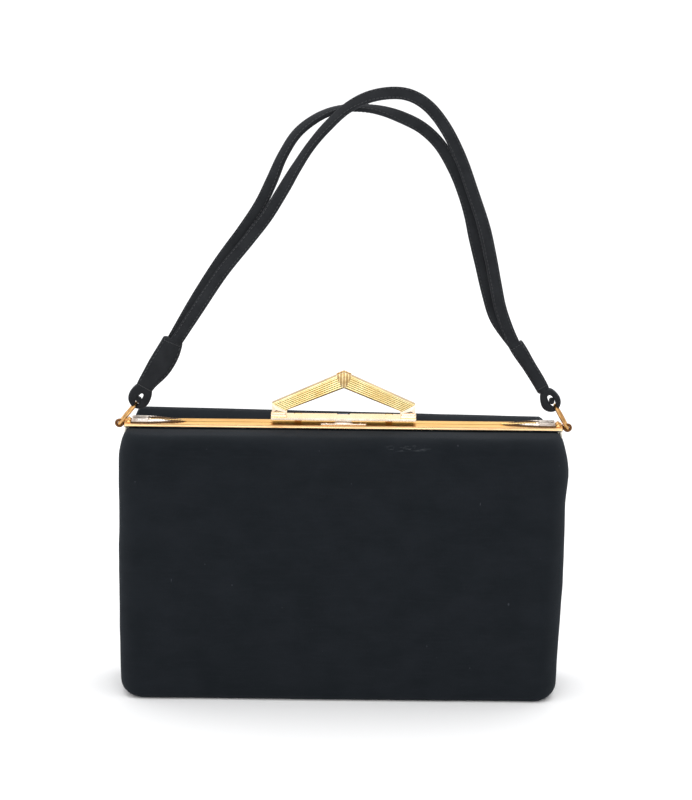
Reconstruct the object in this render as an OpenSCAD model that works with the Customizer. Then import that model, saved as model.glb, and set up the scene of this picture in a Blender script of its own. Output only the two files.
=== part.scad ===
// Evening bag: a boxy fabric bag on a hinged metal frame, with a chevron bar clasp and a double strap.
// Millimetres. The origin is the centre of the base, +Z is up, -Y is the front.

/* [Body] */
// Width of the fabric body at its widest
body_w = 254; // [230:2:270]
// Depth of the fabric body, front to back
body_d = 60; // [56:1:66]
// Height of the fabric top
body_h = 155; // [150:1:170]
// Radius of the upright corners, seen from above
corner_r = 12; // [9:1:13]
// Radius of the top shoulders, seen from the side
shoulder_r = 9; // [6:1:11]
// Radius of the bottom edges
base_r = 5; // [3:1:6]
// How far each side leans in from its widest to the frame
side_lean = 2.4; // [1:0.2:3]
// Thickness of the cover fabric
skin = 1.0; // [0.8:0.1:1.2]
// Thickness of the stiffening boards
board_t = 1.8; // [1.4:0.1:2.2]
// Thickness of the lining
lining_t = 0.8; // [0.6:0.1:1]

/* [Opening] */
// Height of the hinge rivets above the base
hinge_z = 98; // [90:1:104]
// Angle that each frame half opens, which sets the height of the soft band that bends
jaw_angle = 22; // [15:1:22]

/* [Frame] */
// Half length of the frame
frame_half = 124.8; // [124.6:0.1:125]
// Depth of each frame half
frame_d = 6.6; // [6:0.2:7]
// Thickness of the frame's sheet metal
metal_t = 1.2; // [1:0.1:1.4]
// Height of the frame's top above the fabric
frame_rise = 2.2; // [2:0.1:2.6]
// Radius of the bead along the lip
bead_r = 0.8; // [0.6:0.1:1]
// Radius of the hinge rivet's shank
rivet_r = 1.5; // [1.2:0.1:1.8]

/* [Clasp] */
// Half length of the clasp plate
plate_half = 41.4; // [38:0.2:44]
// Thickness of the clasp plate
plate_t = 1.4; // [1.2:0.1:1.6]
// Height of the clasp plate above the frame's top
plate_lift = 2.7; // [2.6:0.1:3]
// Height of the chevron's point above the plate
chevron_h = 26; // [24:0.5:28]
// Height of the chevron's outer corners above the plate
corner_h = 7.6; // [7:0.2:9]
// Depth of the chevron bar
chevron_d = 6; // [5:0.5:7]
// Number of reeds along each arm
reeds = 6; // [5:1:8]

/* [Strap] */
// Width of each strap band
band_w = 7; // [6:0.5:7.5]
// Thickness of each strap band
band_t = 3; // [2.4:0.2:3.2]
// Mean radius of the strap rings
ring_r = 7.6; // [7.2:0.2:7.8]
// Radius of the ring wire
wire_r = 0.85; // [0.7:0.05:0.95]
// Lean of the left ring towards the middle
left_lean = 40; // [36:1:41]
// Lean of the right ring towards the middle
right_lean = 30; // [25:1:35]

/* [Hidden] */
$fn = 64;
gap = 0.2;
run_fit = 0.05;
tiny = 0.01;
far = 400;

top_z = body_h + frame_rise;
half_w = body_w / 2;
half_d = body_d / 2;
flex_spare = 1.9;
upper_z = hinge_z + half_d * tan(jaw_angle) + flex_spare;
board_half = half_w - corner_r - skin;
board_front = half_d - skin;
lining_side = 7.6;
lining_front = skin + board_t;
flange_z = body_h - 5.8;
lean_drop = 17;
foot_r = 9;
board_drop = 1.5;
pocket_half = 60;
pocket_t = 0.6;
pocket_drop = 6;

half_gap = 0.1;
wall_low = body_h - 4.5;
cap_low = body_h - 7;
arm_x = frame_half - 2.6;
arm_t = 1.2;
arm_w = 4.7;
boss_r = 4.5;
head_r = 3;
pleat_in = 0.6;
pleat_t = 0.5;
pleat_depth = 22;

swivel_y = 3.2;
swivel_z = body_h;
pin_r = 1.5;
pin_head = 0.3;
head_l = 1.2;
block_l = 6.3;
block_low = body_h - 2.6;
eye_x = 128.3;
eye_tube = 0.7;
eye_mean = 1.85;

plate_z = top_z + plate_lift;
plate_top = plate_z + plate_t;
plate_front = 5.4;
rod_y = 5.6;
rod_r = 0.6;
barrel_r = 1.25;
rod_z = plate_top - barrel_r;
lug_x = 26;
lug_l = 4;
spring_half = 3.6;
spring_wire = 0.24;
hinge_cut = 1.7;
corner_x = plate_half - 0.6;
inner_x = plate_half - 8.3;
inner_h = corner_h - 4.1;
arm_drop = 9;
point_h = chevron_h - arm_drop;
groove_in = 4.5;
groove_short = 7;
groove_share = 0.28;
groove_out = 0.1;
cap_half = 4.2;
cap_side = 7;
cap_top = 8.9;
cap_t = 0.35;
collar_w = 8.8;
collar_h = 2.4;
collar_t = 0.8;
strike_half = 13;
strike_front = 5.8;
strike_back = 2.2;
strike_t = 1;
catch_half = 5;
catch_in = 0.6;
catch_top = 1.9;
hook_half = 4.7;
hook_back = 3.8;
hook_drop = 0.55;

panel_out = 3.6;
panel_l = 9.6;
panel_half = 5;
panel_mid = 0.3;
panel_low = top_z + 0.3;
panel_high = top_z + 1.9;
bead_in = 14;
bead_round = 1.9;
leaf_in = 19.4;
leaf_l = 30;
leaf_w = 3.8;

tab_hole = 3.9;
tab_wall = 1.9;
tab_lean = 25;
tab_t = 6;

brass = "goldenrod";
silver = "silver";
cloth = "#202226";
satin = "#3a3438";
card = "tan";

// Strap routes, one row per point: x, z, offset along Y, turn of the band about its own length.
outer_route = [
    [-96, 203, -1.7, 0], [-82, 225, -3, 20], [-69, 245, -3.4, 25], [-54, 264, -3.4, 25],
    [-41, 285, -3.6, 30], [-29, 308, -3.8, 45], [-17, 325, -4, 55], [-4, 336, -4, 50],
    [10, 344, -3.8, 35], [26, 346, -3.6, 25], [42, 341, -3.4, 20], [55, 327, -3.2, 15],
    [65, 311, -3.2, 10], [72, 292, -3, 10], [78, 272, -2.8, 10], [82, 255, -2.6, 10],
    [85, 240, -2.4, 10], [88, 226, -2.2, 5], [94, 213, -1.9, 0], [99, 203, -1.7, 0]
];
inner_route = [
    [-98, 203, 1.7, 0], [-84, 228, 3, 20], [-71, 249, 3.4, 25], [-56, 270, 3.4, 25],
    [-44, 290, 3.6, 30], [-33, 311, 3.8, 45], [-22, 326, 4, 65], [-10, 335, 4.2, 75],
    [6, 338, 4.2, 75], [22, 336, 4, 65], [38, 329, 3.6, 35], [52, 316, 3.2, 15],
    [61, 302, 3.2, 10], [68, 285, 3, 10], [73, 266, 2.8, 10], [77, 249, 2.6, 10],
    [81, 233, 2.4, 10], [87, 218, 2.2, 5], [96, 203, 1.7, 0]
];
// Tab blades, one row per disc: x, z, radius.
left_blade = [[-114.2, 176, 4.8], [-105, 189, 7.2], [-98, 203, 4.8]];
right_blade = [[114.5, 176, 4.2], [107, 190, 4.2], [98.6, 203, 4.2]];

// ---- shared shapes ----

// A box given by its lowest and highest corners.
module block(low, high) {
    translate(low) cube(high - low);
}

// A rectangle with arcs of one radius at the bottom and another at the top, standing on y = 0.
module arched_rect(w, h, r_low, r_high) {
    translate([-w / 2, r_low]) square([w, h - r_low - r_high]);
    translate([-w / 2 + r_low, 0]) square([w - 2 * r_low, r_low + tiny]);
    translate([-w / 2 + r_high, h - r_high - tiny]) square([w - 2 * r_high, r_high + tiny]);
    for (side = [-1, 1]) {
        translate([side * (w / 2 - r_low), r_low]) circle(r_low);
        translate([side * (w / 2 - r_high), h - r_high]) circle(r_high);
    }
}

// The body seen from the front: upright sides that lean in near the frame.
module front_outline(inset) {
    lean_z = body_h - lean_drop;
    hw = half_w - inset;
    intersection() {
        translate([0, inset]) arched_rect(2 * hw, body_h - 2 * inset, foot_r - inset, 1);
        polygon([
            [-hw, 0], [hw, 0], [hw, lean_z],
            [hw - side_lean, body_h], [side_lean - hw, body_h], [-hw, lean_z]
        ]);
    }
}

// The closed outer form of the body, pulled in by an even inset and by a further inset of its ends.
module body_form(inset, ends = 0) {
    w = body_w - 2 * inset - 2 * ends;
    d = body_d - 2 * inset;
    intersection() {
        rotate([90, 0, 0]) linear_extrude(far, center = true) front_outline(inset);
        rotate([90, 0, 90]) linear_extrude(w, center = true) translate([0, inset])
            arched_rect(d, body_h - 2 * inset, base_r - inset / 2, shoulder_r - inset / 2);
        linear_extrude(far) translate([0, -d / 2]) arched_rect(w, d, corner_r - inset, corner_r - inset);
    }
}

// The cover fabric as one shell, open where the frame sits.
module cover_shell() {
    difference() {
        body_form(0);
        body_form(skin);
        block([-far, -metal_t - gap, wall_low], [far, metal_t + gap, far]);
        for (side = [-1, 1]) {
            mirror([side < 0 ? 1 : 0, 0, 0])
                block([arm_x - gap, -frame_d - gap, cap_low - gap], [far, frame_d + gap, far]);
            mirror([side < 0 ? 1 : 0, 0, 0])
                block([frame_half - block_l - 1.6, 0, block_low - gap], [far, frame_d + gap, far]);
        }
    }
}

// One half of space, front (-1) or rear (+1), between two heights.
module half_slab(side, low, high) {
    mirror([0, side < 0 ? 1 : 0, 0]) block([-far, half_gap, low], [far, far, high]);
}

// ---- lower body ----

module lower_cover() color(cloth) intersection() {
    cover_shell();
    block([-far, -far, 0], [far, far, hinge_z]);
}

module bottom_board() color(card)
    block([-board_half, -half_d + base_r + skin, skin],
          [board_half, half_d - base_r - skin, skin + board_t]);

module lower_board(side) color(card) mirror([0, side < 0 ? 1 : 0, 0])
    block([-board_half, board_front - board_t, base_r + 1], [board_half, board_front, hinge_z]);

// The lower lining is a plain tray that stands on the bottom board.
module lining_lower() color(satin) difference() {
    side = half_w - lining_side;
    face = half_d - lining_front;
    block([-side, -face, lining_front], [side, face, hinge_z]);
    block([lining_t - side, lining_t - face, lining_front + lining_t],
          [side - lining_t, face - lining_t, far]);
}

// A rivet through both frame arms, its outer head against the cover's side.
module hinge_rivet(side) color(brass) mirror([side < 0 ? 1 : 0, 0, 0]) translate([0, 0, hinge_z])
    rotate([0, 90, 0]) {
        shank_low = arm_x - arm_t - 2 * gap;
        outer_low = arm_x + arm_t + gap;
        translate([0, 0, shank_low - 1]) cylinder(h = half_w - skin - shank_low + 1, r = rivet_r);
        translate([0, 0, shank_low - 1]) cylinder(h = 1, r = head_r);
        translate([0, 0, outer_low]) cylinder(h = half_w - skin - outer_low, r = head_r);
    }

// ---- frame halves: side is -1 at the front and +1 at the rear ----

// The arm that runs from the frame's end down to the rivet, with a round boss.
module frame_arm(side) {
    arm_low = side < 0 ? arm_x : arm_x - arm_t - gap;
    inner = side < 0 ? -arm_w - half_gap : half_gap;
    difference() {
        union() {
            block([arm_low, inner, hinge_z], [arm_low + arm_t, inner + arm_w, top_z - metal_t]);
            translate([arm_low, 0, hinge_z]) rotate([0, 90, 0]) cylinder(h = arm_t, r = boss_r);
        }
        translate([arm_low - 1, 0, hinge_z]) rotate([0, 90, 0])
            cylinder(h = arm_t + 2, r = rivet_r + run_fit);
    }
}

module frame_half_shape(side) {
    flip = side < 0 ? 1 : 0;
    mirror([0, flip, 0]) {
        block([-frame_half, half_gap, top_z - metal_t], [frame_half, frame_d, top_z]);
        block([-frame_half, half_gap, wall_low], [frame_half, half_gap + metal_t, top_z]);
        translate([-frame_half, frame_d - 0.2, body_h + bead_r + 0.1]) rotate([0, 90, 0])
            cylinder(h = 2 * frame_half, r = bead_r);
        for (end = [0, 1]) mirror([end, 0, 0])
            block([frame_half - metal_t, half_gap, cap_low], [frame_half, frame_d, top_z]);
    }
    for (end = [0, 1]) mirror([end, 0, 0]) frame_arm(side);
}

module front_frame() color(brass) frame_half_shape(-1);

// The rear half also has the blocks that hold the strap's swivels and the lugs of the clasp's rod.
module rear_frame() color(brass) {
    difference() {
        union() {
            frame_half_shape(1);
            for (end = [0, 1]) mirror([end, 0, 0])
                block([frame_half - block_l, half_gap, block_low], [frame_half, frame_d, top_z]);
        }
        for (end = [0, 1]) mirror([end, 0, 0]) translate([frame_half - block_l, swivel_y, swivel_z])
            rotate([0, 90, 0]) {
                translate([0, 0, -tiny]) cylinder(h = block_l + 1, r = pin_r + run_fit);
                translate([0, 0, -head_l - 2 * gap])
                    cylinder(h = head_l + 2 * gap, r = pin_r + 2 * pin_head);
            }
    }
    for (end = [0, 1]) mirror([end, 0, 0]) difference() {
        union() {
            block([lug_x - lug_l / 2, rod_y - 1, top_z - tiny], [lug_x + lug_l / 2, rod_y + 1, rod_z]);
            translate([lug_x - lug_l / 2, rod_y, rod_z]) rotate([0, 90, 0])
                cylinder(h = lug_l, r = barrel_r);
        }
        translate([lug_x - lug_l, rod_y, rod_z]) rotate([0, 90, 0]) cylinder(h = 2 * lug_l, r = rod_r);
    }
}

// ---- soft parts and boards that follow each frame half ----

module cover_upper(side) color(cloth) intersection() {
    cover_shell();
    half_slab(side, upper_z, body_h + 1);
}

module flex_band(side) color(cloth) intersection() {
    cover_shell();
    half_slab(side, hinge_z, upper_z);
}

module board_upper(side) color(card) mirror([0, side < 0 ? 1 : 0, 0])
    block([-board_half, board_front - board_t, upper_z],
          [board_half, board_front, body_h - shoulder_r - board_drop]);

module lining_upper(side) color(satin) mirror([0, side < 0 ? 1 : 0, 0]) {
    face = half_d - lining_front;
    block([-board_half, face - lining_t, upper_z], [board_half, face, flange_z + lining_t]);
    block([-board_half, metal_t + gap, flange_z], [board_half, face, flange_z + lining_t]);
}

// A flat pocket on the rear lining, joined to it along its sides and its bottom.
module inner_pocket() color(satin) {
    face = half_d - lining_front - lining_t;
    high = flange_z - pocket_drop;
    block([-pocket_half, face - 2 * pocket_t, upper_z], [pocket_half, face - pocket_t, high]);
    for (x = [-pocket_half, pocket_half - 1]) block([x, face - pocket_t, upper_z], [x + 1, face, high]);
    block([-pocket_half, face - pocket_t, upper_z], [pocket_half, face, upper_z + 1]);
}

// A gusset leaf folded flat between the frame halves.
module pleat(x_side, y_side) color(satin) {
    outer = arm_x - arm_t - 2 * gap;
    mirror([x_side < 0 ? 1 : 0, 0, 0]) mirror([0, y_side < 0 ? 1 : 0, 0])
        block([outer - pleat_depth, pleat_in, hinge_z + boss_r + 1], [outer, pleat_in + pleat_t, flange_z - 1]);
}

// ---- clasp ----

// The strike on the front frame half, with the raised catch that the clasp closes on.
module strike_plate() color(brass) {
    block([-strike_half, -strike_front, top_z], [strike_half, -strike_back, top_z + strike_t]);
    block([-catch_half, catch_in - strike_front, top_z + strike_t - tiny],
          [catch_half, -strike_back - catch_in, top_z + catch_top]);
}

module clasp_rod() color(brass)
    translate([-plate_half, rod_y, rod_z]) rotate([0, 90, 0]) cylinder(h = 2 * plate_half, r = rod_r);

// Close-wound turns of the torsion spring, round the rod.
module clasp_spring() color("silver") {
    reach = spring_half - 0.6;
    for (x = [-reach : 2 * spring_wire : reach])
        translate([x, rod_y, rod_z]) rotate([0, 90, 0]) rotate_extrude()
            translate([rod_r + spring_wire + run_fit, 0]) circle(spring_wire, $fn = 16);
}

// The plate with its hinge barrels, cut away round the two lugs and the spring.
module clasp_plate() color(brass) difference() {
    union() {
        block([-plate_half, -plate_front, plate_z], [plate_half, rod_y - 1, plate_top]);
        block([-plate_half, rod_y - 1 - tiny, plate_z], [plate_half, rod_y, plate_top]);
        translate([-plate_half, rod_y, rod_z]) rotate([0, 90, 0])
            cylinder(h = 2 * plate_half, r = barrel_r);
    }
    cut_low = rod_z - 2 * barrel_r;
    for (x = [-lug_x, lug_x])
        block([x - lug_l / 2 - gap, rod_y - hinge_cut, cut_low], [x + lug_l / 2 + gap, far, far]);
    block([-spring_half, rod_y - hinge_cut, cut_low], [spring_half, far, far]);
    translate([-far / 2, rod_y, rod_z]) rotate([0, 90, 0]) cylinder(h = far, r = rod_r + run_fit);
}

// The chevron seen from the front, between its outer and inner edges.
module chevron_outline() {
    translate([0, plate_top]) polygon([
        [-corner_x, corner_h], [0, chevron_h], [corner_x, corner_h],
        [inner_x, inner_h], [0, point_h], [-inner_x, inner_h]
    ]);
}

// The chevron bar with reeds cut along both arms on its front and rear faces.
module clasp_bar() color(brass) difference() {
    rotate([90, 0, 0]) linear_extrude(chevron_d, center = true) chevron_outline();
    slope = atan2(chevron_h - corner_h, corner_x);
    pitch = arm_drop / reeds;
    for (end = [0, 1], i = [1 : reeds - 1]) mirror([end, 0, 0])
        translate([0, 0, plate_top + chevron_h - i * pitch]) rotate([0, slope, 0])
            for (face = [-1, 1]) translate([groove_in, face * (chevron_d / 2 + groove_out), 0])
                rotate([0, 90, 0])
                    cylinder(h = corner_x - groove_short, r = pitch * cos(slope) * groove_share);
}

// A faceted cap over the point of the chevron, on both faces.
module apex_cap() color(silver) for (face = [-1, 1])
    translate([0, face * (chevron_d / 2 + cap_t), plate_top + point_h]) rotate([90, 0, 0])
        linear_extrude(2 * cap_t, center = true)
            polygon([[-cap_half, cap_side], [0, cap_top], [cap_half, cap_side], [0, cap_t]]);

// A post that carries one end of the chevron, with a stepped collar.
module clasp_post(side) color(brass) mirror([side < 0 ? 1 : 0, 0, 0]) {
    translate([0, 0, plate_top]) rotate([90, 0, 0]) linear_extrude(chevron_d, center = true)
        polygon([[inner_x - collar_t, 0], [corner_x, 0], [corner_x, corner_h], [inner_x, inner_h]]);
    for (face = [-1, 1]) mirror([0, face < 0 ? 1 : 0, 0])
        block([plate_half - collar_w, chevron_d / 2, plate_top],
              [plate_half, chevron_d / 2 + collar_t, plate_top + collar_h]);
}

// The low hook under the plate's front edge, above the catch.
module latch_hook() color(brass)
    block([-hook_half, -plate_front, plate_z - hook_drop], [hook_half, -hook_back, plate_z]);

// ---- strap ----

// A direction in the XZ plane that leans towards the middle from straight up.
function lean_dir(side, lean) = [-side * sin(lean), 0, cos(lean)];
function eye_at(side) = [side * eye_x, swivel_y, swivel_z];
function ring_top(side, lean) = eye_at(side) + 2 * ring_r * lean_dir(side, lean);

// A pin that turns in the frame's end, with a round eye for the ring outside it.
module swivel(side) color(brass) mirror([side < 0 ? 1 : 0, 0, 0]) {
    translate([frame_half - block_l - gap, swivel_y, swivel_z]) rotate([0, 90, 0]) {
        cylinder(h = eye_x - eye_mean - frame_half + block_l + gap, r = pin_r);
        translate([0, 0, -head_l]) cylinder(h = head_l, r = pin_r + pin_head);
    }
    translate(eye_at(1)) rotate([90, 0, 0]) rotate_extrude()
        translate([eye_mean, 0]) circle(eye_tube, $fn = 24);
}

// The ring stands in the plane of its lean and of the Y axis, its lowest wire through the eye.
module ring(side, lean) color(brass)
    translate(eye_at(side) + ring_r * lean_dir(side, lean)) rotate([0, 90 - side * lean, 0])
        rotate_extrude() translate([ring_r, 0]) circle(wire_r, $fn = 24);

// A folded tab: a loop round the ring's top and a leaf-shaped blade up to the bands.
module tab(side, lean, blade) color(cloth) {
    centre = ring_top(side, lean) + lean_dir(side, tab_lean);
    difference() {
        translate([0, swivel_y, 0]) rotate([90, 0, 0]) linear_extrude(tab_t, center = true) union() {
            translate([centre[0], centre[2]]) circle(tab_hole + tab_wall);
            for (i = [0 : len(blade) - 2]) hull() {
                translate([blade[i][0], blade[i][1]]) circle(blade[i][2], $fn = 32);
                translate([blade[i + 1][0], blade[i + 1][1]]) circle(blade[i + 1][2], $fn = 32);
            }
        }
        translate([centre[0], swivel_y, centre[2]]) rotate([90, 0, 0])
            cylinder(h = tab_t + 2, r = tab_hole, center = true);
    }
}

// A point on a smooth curve through the route's points, at a fraction f of the span that starts at i.
function route_point(route, i, f) =
    let (
        last = len(route) - 1,
        a = route[max(i - 1, 0)],
        b = route[i],
        c = route[min(i + 1, last)],
        d = route[min(i + 2, last)]
    )
    0.5 * (2 * b + (c - a) * f + (2 * a - 5 * b + 4 * c - d) * f * f + (3 * b - a - 3 * c + d) * f * f * f);

band_steps = 3;
function smooth_route(route) = [
    for (i = [0 : len(route) - 2]) for (k = [0 : band_steps - 1]) route_point(route, i, k / band_steps),
    route[len(route) - 1]
];

// The eight corners of a band's section, across its width and its thickness.
section = let (w = band_w / 2, t = band_t / 2, e = 0.45) [
    [-w, -t * e], [-w * 0.8, -t], [w * 0.8, -t], [w, -t * e],
    [w, t * e], [w * 0.8, t], [-w * 0.8, t], [-w, t * e]
];

module band(route) color(cloth) {
    points = smooth_route(route);
    count = len(points);
    sides = len(section);
    rings = [for (i = [0 : count - 1])
        let (
            step = points[min(i + 1, count - 1)] - points[max(i - 1, 0)],
            size = norm([step[0], step[1]]),
            across = [-step[1] / size, 0, step[0] / size],
            turn = points[i][3],
            centre = [points[i][0], swivel_y + points[i][2], points[i][1]],
            wide = across * cos(turn) + [0, sin(turn), 0],
            thin = [0, cos(turn), 0] - across * sin(turn)
        )
        for (corner = section) centre + corner[0] * wide + corner[1] * thin
    ];
    walls = [for (i = [0 : count - 2]) for (k = [0 : sides - 1])
        let (n = (k + 1) % sides, low = i * sides, high = low + sides)
        each [[low + k, high + k, high + n], [low + k, high + n, low + n]]];
    start_cap = [for (k = [0 : sides - 1]) k];
    end_cap = [for (k = [0 : sides - 1]) count * sides - 1 - k];
    polyhedron(points = rings, faces = concat(walls, [start_cap, end_cap]));
}

// A raised panel, bead and leaf on top of the frame's end, standing on the rear half only.
module end_plate(side) color(silver) mirror([side < 0 ? 1 : 0, 0, 0]) {
    leaf_r = (leaf_l * leaf_l / 4 + leaf_w * leaf_w) / (2 * leaf_w);
    panel_x = frame_half - panel_out - panel_l;
    translate([0, panel_mid, panel_low]) linear_extrude(panel_high - panel_low) {
        translate([panel_x, -panel_half]) square([panel_l, 2 * panel_half]);
        translate([frame_half - bead_in, 0]) circle(bead_round);
        translate([frame_half - leaf_in, 0]) intersection() {
            translate([0, leaf_r - leaf_w]) circle(leaf_r);
            translate([0, leaf_w - leaf_r]) circle(leaf_r);
        }
    }
    block([panel_x + 1, 1, top_z], [panel_x + panel_l - 1, panel_mid + panel_half - 1, panel_low + tiny]);
}

lower_cover();
bottom_board();
lower_board(-1);  // front_board_lower
lower_board(1);  // rear_board_lower
lining_lower();
hinge_rivet(-1);  // left_hinge_rivet
hinge_rivet(1);  // right_hinge_rivet
front_frame();
cover_upper(-1);  // front_cover_upper
board_upper(-1);  // front_board_upper
lining_upper(-1);  // front_lining_upper
strike_plate();
rear_frame();
cover_upper(1);  // rear_cover_upper
board_upper(1);  // rear_board_upper
lining_upper(1);  // rear_lining_upper
inner_pocket();
end_plate(-1);  // left_end_plate
end_plate(1);  // right_end_plate
clasp_rod();
clasp_spring();
clasp_plate();
clasp_bar();
apex_cap();
clasp_post(-1);  // left_post
clasp_post(1);  // right_post
latch_hook();
swivel(-1);  // left_swivel
swivel(1);  // right_swivel
ring(-1, left_lean);  // left_ring
ring(1, right_lean);  // right_ring
tab(-1, left_lean, left_blade);  // left_tab
tab(1, right_lean, right_blade);  // right_tab
band(outer_route);  // outer_band
band(inner_route);  // inner_band
flex_band(-1);  // front_flex
flex_band(1);  // rear_flex
pleat(-1, -1);  // left_front_pleat
pleat(1, -1);  // right_front_pleat
pleat(-1, 1);  // left_rear_pleat
pleat(1, 1);  // right_rear_pleat
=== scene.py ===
import math

import bmesh
import bpy
import numpy as np
from mathutils import Matrix, Vector, noise


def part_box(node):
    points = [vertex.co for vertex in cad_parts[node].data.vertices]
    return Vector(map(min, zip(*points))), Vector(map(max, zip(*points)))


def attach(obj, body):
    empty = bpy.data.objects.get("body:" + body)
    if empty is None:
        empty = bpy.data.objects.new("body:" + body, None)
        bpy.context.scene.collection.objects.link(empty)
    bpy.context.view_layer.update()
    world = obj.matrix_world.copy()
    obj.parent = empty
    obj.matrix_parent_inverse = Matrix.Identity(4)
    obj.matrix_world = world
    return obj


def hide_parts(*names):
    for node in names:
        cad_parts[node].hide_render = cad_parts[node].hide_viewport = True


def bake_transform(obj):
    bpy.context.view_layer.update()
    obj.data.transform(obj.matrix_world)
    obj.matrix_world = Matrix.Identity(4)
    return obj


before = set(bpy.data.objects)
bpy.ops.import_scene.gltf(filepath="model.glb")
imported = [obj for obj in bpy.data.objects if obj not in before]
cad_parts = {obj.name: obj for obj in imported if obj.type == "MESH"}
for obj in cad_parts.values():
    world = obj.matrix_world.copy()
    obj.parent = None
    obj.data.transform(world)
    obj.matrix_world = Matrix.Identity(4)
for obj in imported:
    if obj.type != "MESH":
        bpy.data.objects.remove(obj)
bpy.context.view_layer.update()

# Evening bag. Pieces are laid out in millimetres and made in metres: X right, -Y front, Z up.
MM = 0.001
FRONT, REAR = -1, 1
LEFT, RIGHT = -1, 1
SIDE_NAMES = {LEFT: "left", RIGHT: "right"}


def box_mm(node):
    """The lowest and highest corners of a CAD node, in millimetres."""
    low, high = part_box(node)
    return np.array(low) / MM, np.array(high) / MM


def step(values, low, high):
    """A smooth step from 0 at low to 1 at high."""
    share = np.clip((values - low) / (high - low), 0, 1)
    return share * share * (3 - 2 * share)


# ---- sizes that come from the CAD parts ----

LOWER_LOW, LOWER_HIGH = box_mm("lower_cover")
LINING_LOW, LINING_HIGH = box_mm("lining_lower")
FRAME_LOW, FRAME_HIGH = box_mm("front_frame")
UPPER_HIGH = box_mm("front_cover_upper")[1]
FLANGE_HIGH = box_mm("front_lining_upper")[1]
PLATE_LOW, PLATE_HIGH = box_mm("clasp_plate")
BAR_LOW, BAR_HIGH = box_mm("clasp_bar")
HALF_W = LOWER_HIGH[0]
HALF_D = LOWER_HIGH[1]
HINGE_Z = LOWER_HIGH[2]
FABRIC_Z = UPPER_HIGH[2]
FRAME_END = FRAME_HIGH[0]
TOP_Z = FRAME_HIGH[2]
PLATE_TOP = PLATE_HIGH[2]


# ---- mesh helpers ----

def make_object(name, points, faces, material, uvs=None):
    """A smooth-shaded mesh object from points in millimetres."""
    mesh = bpy.data.meshes.new(name)
    mesh.from_pydata([tuple(p) for p in np.asarray(points, float) * MM], [], faces)
    if uvs is not None:
        layer = mesh.uv_layers.new(name="UVMap")
        for polygon in mesh.polygons:
            for loop in polygon.loop_indices:
                layer.data[loop].uv = uvs[mesh.loops[loop].vertex_index]
    mesh.polygons.foreach_set("use_smooth", [True] * len(mesh.polygons))
    obj = bpy.data.objects.new(name, mesh)
    bpy.context.scene.collection.objects.link(obj)
    mesh.materials.append(material)
    return obj


def face_outward(obj):
    """Makes the faces' normals agree and point out of the solid."""
    work = bmesh.new()
    work.from_mesh(obj.data)
    bmesh.ops.recalc_face_normals(work, faces=work.faces)
    work.to_mesh(obj.data)
    work.free()
    return obj


def grid_faces(rows, columns, closed=False, offset=0):
    """Quads of a grid of points stored row by row."""
    last = columns if closed else columns - 1
    return [
        (
            offset + r * columns + c,
            offset + r * columns + (c + 1) % columns,
            offset + (r + 1) * columns + (c + 1) % columns,
            offset + (r + 1) * columns + c,
        )
        for r in range(rows - 1)
        for c in range(last)
    ]


def grid_uvs(grid):
    """Map coordinates in metres, along and across a grid, from its mean lengths."""
    across = np.linalg.norm(np.diff(grid, axis=0), axis=2).mean(1)
    along = np.linalg.norm(np.diff(grid, axis=1), axis=2).mean(0)
    v = np.concatenate([[0], np.cumsum(across)]) * MM
    u = np.concatenate([[0], np.cumsum(along)]) * MM
    return [(a, b) for b in v for a in u]


def sheet_object(name, grid, material):
    """An open sheet from a grid of points."""
    rows, columns = grid.shape[:2]
    return make_object(name, grid.reshape(-1, 3), grid_faces(rows, columns), material, grid_uvs(grid))


def tube_object(name, sections, material, caps=True):
    """A closed solid from sections, each a ring of points."""
    sections = np.asarray(sections, float)
    rows, columns = sections.shape[:2]
    faces = grid_faces(rows, columns, closed=True)
    if caps:
        faces.append(tuple(reversed(range(columns))))
        faces.append(tuple(range((rows - 1) * columns, rows * columns)))
    return face_outward(make_object(name, sections.reshape(-1, 3), faces, material, grid_uvs(sections)))


def make_closed_loop(name, sections, material):
    """A closed ring of sections, the last joined to the first."""
    sections = np.asarray(sections, float)
    rows, columns = sections.shape[:2]
    faces = [
        (r * columns + c, r * columns + (c + 1) % columns,
         (r + 1) % rows * columns + (c + 1) % columns, (r + 1) % rows * columns + c)
        for r in range(rows)
        for c in range(columns)
    ]
    return face_outward(make_object(name, sections.reshape(-1, 3), faces, material, grid_uvs(sections)))


def torus_object(name, centre, across, up, radius, wire, material, turns=96, sides=20):
    """A ring of round wire in the plane of two directions."""
    centre, across, up = (np.asarray(v, float) for v in (centre, across, up))
    axis = np.cross(across, up)
    sections = []
    for a in np.arange(turns) * 2 * math.pi / turns:
        out = across * math.cos(a) + up * math.sin(a)
        sections.append([
            centre + out * (radius + wire * math.cos(b)) + axis * wire * math.sin(b)
            for b in np.arange(sides) * 2 * math.pi / sides
        ])
    return make_closed_loop(name, sections, material)


def apply_modifiers(obj):
    """Replaces the object's mesh by its mesh with the modifiers applied."""
    evaluated = obj.evaluated_get(bpy.context.evaluated_depsgraph_get())
    obj.data = bpy.data.meshes.new_from_object(evaluated)
    obj.modifiers.clear()
    return obj


def thicken(obj, thickness, offset=-1):
    """Gives an open sheet a real thickness, in millimetres."""
    solid = obj.modifiers.new("thickness", "SOLIDIFY")
    solid.thickness = thickness * MM
    solid.offset = offset
    solid.use_even_offset = True
    return apply_modifiers(obj)


def crisp(obj, width=0.25, angle=35, segments=3):
    """Rounds the hard edges a little and keeps the flat faces flat."""
    bevel = obj.modifiers.new("bevel", "BEVEL")
    bevel.width = width * MM
    bevel.segments = segments
    bevel.limit_method = "ANGLE"
    bevel.angle_limit = math.radians(angle)
    bevel.harden_normals = False
    weighted = obj.modifiers.new("normals", "WEIGHTED_NORMAL")
    weighted.keep_sharp = False
    return apply_modifiers(obj)


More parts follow.
